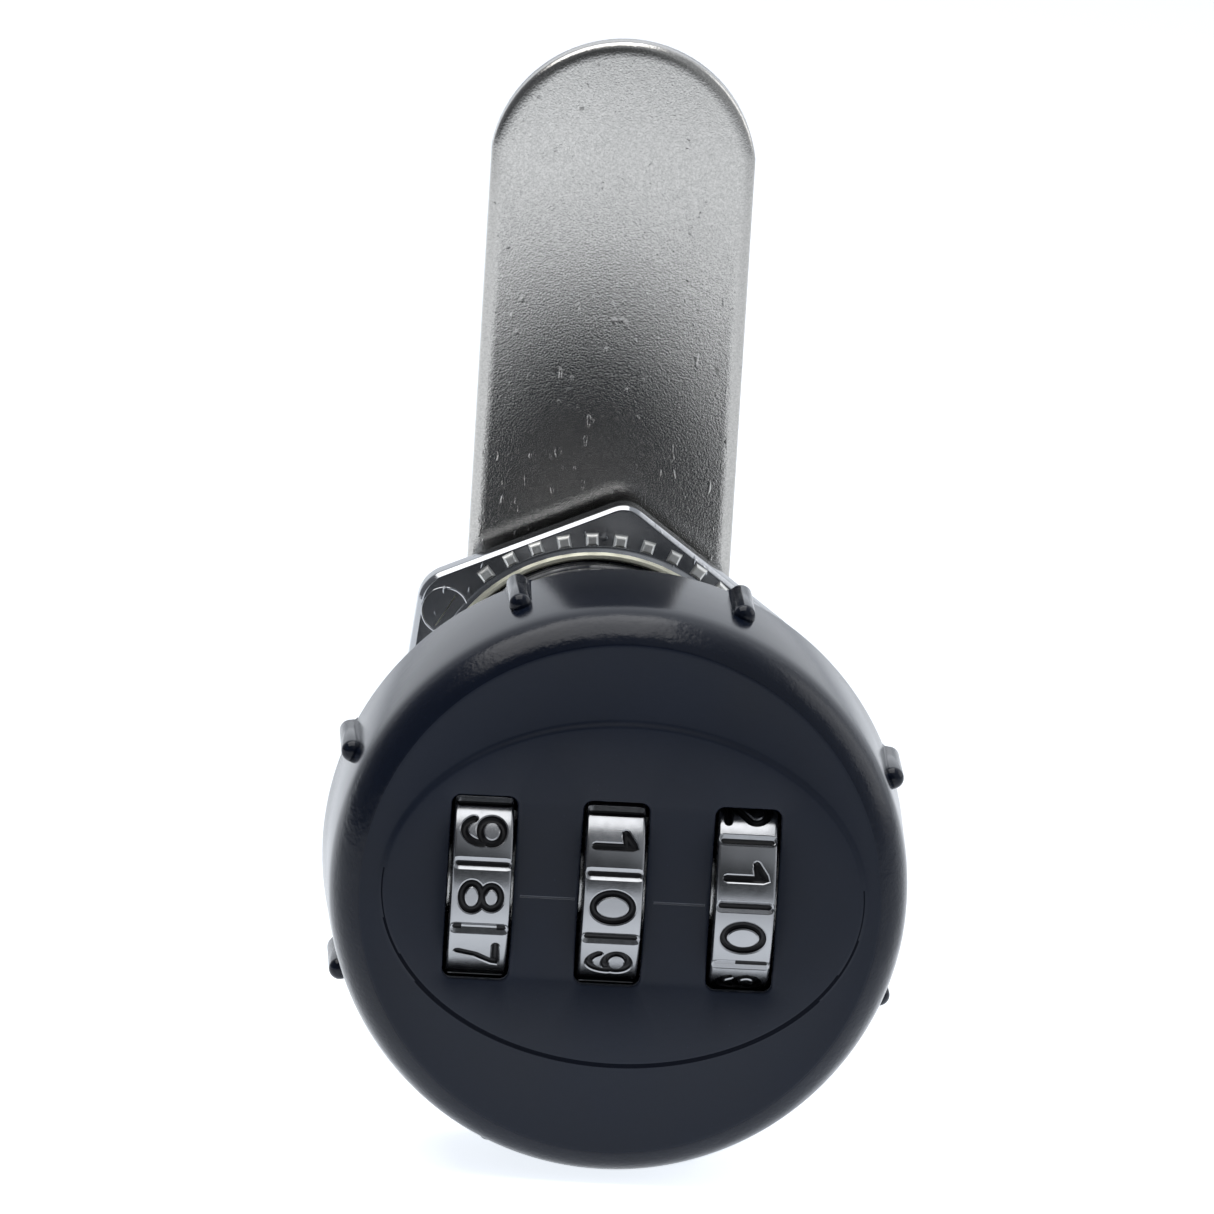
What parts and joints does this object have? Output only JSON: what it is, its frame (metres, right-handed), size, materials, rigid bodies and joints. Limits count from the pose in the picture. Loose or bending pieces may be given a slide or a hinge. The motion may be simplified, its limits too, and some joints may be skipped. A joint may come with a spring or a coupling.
{
  "type": "combination cam lock",
  "caption": "Keyless combination cam lock for a locker door: round black knob with number dials in its face, threaded barrel, serrated hex nut and a straight cam.",
  "frame": {"origin": "centre of the mounting plane, where the thin flange behind the knob seats on the door, on the lock's axis", "axes": "+Y along the lock's axis from the face into the door, +Z towards the cam's tip at rest, +X to the right as seen from the front"},
  "size_m": [0.0337, 0.0565, 0.0572],
  "materials": {
    "black_paint": "gloss",
    "bright_dial": "satin",
    "plated_nut": "gloss",
    "plated_steel": "satin",
    "spring_steel": "satin",
    "washer_plastic": "matte"
  },
  "bodies": {
    "barrel": {"barrel": "black_paint", "bearing_washer": "washer_plastic"},
    "knob": {"knob_shell": "black_paint", "back_plate": "plated_steel", "dial_axle": "plated_steel", "axle_clip": "spring_steel", "clutch_spring": "spring_steel", "detent_spring": "spring_steel", "plate_screws": "plated_steel", "spindle": "plated_steel", "cam": "plated_steel", "lock_washer": "spring_steel", "cam_screw": "plated_steel"},
    "dial_1": {"dial_1": "bright_dial", "dial_sleeve_1": "plated_steel"},
    "dial_2": {"dial_2": "bright_dial", "dial_sleeve_2": "plated_steel"},
    "dial_3": {"dial_3": "bright_dial", "dial_sleeve_3": "plated_steel"},
    "lock_bar": {"lock_bar": "plated_steel"},
    "nut": {"hex_nut": "plated_nut"}
  },
  "joints": [
    {"name": "knob_turn", "type": "hinge", "parent": "barrel", "child": "knob", "pos_m": [0, 0, 0], "axis": [0, -1, 0], "range_deg": [0, 90]},
    {"name": "dial_1_turn", "type": "hinge", "parent": "knob", "child": "dial_1", "pos_m": [-0.00805, -0.0091, 0.0003], "axis": [1, 0, 0], "continuous": true},
    {"name": "dial_2_turn", "type": "hinge", "parent": "knob", "child": "dial_2", "pos_m": [-0.0005, -0.0091, 0.0003], "axis": [1, 0, 0], "continuous": true},
    {"name": "dial_3_turn", "type": "hinge", "parent": "knob", "child": "dial_3", "pos_m": [0.00705, -0.0091, 0.0003], "axis": [1, 0, 0], "continuous": true},
    {"name": "lock_bar_slide", "type": "slide", "parent": "knob", "child": "lock_bar", "axis": [0, 0, 1], "range_m": [0, 0.001]},
    {"name": "nut_travel", "type": "slide", "parent": "barrel", "child": "nut", "axis": [0, -1, 0], "range_m": [0, 0.032]}
  ],
  "couplings": [
    {"joint": "lock_bar_slide", "follows": "knob_turn", "m_per_rad": 0.00063662}
  ]
}
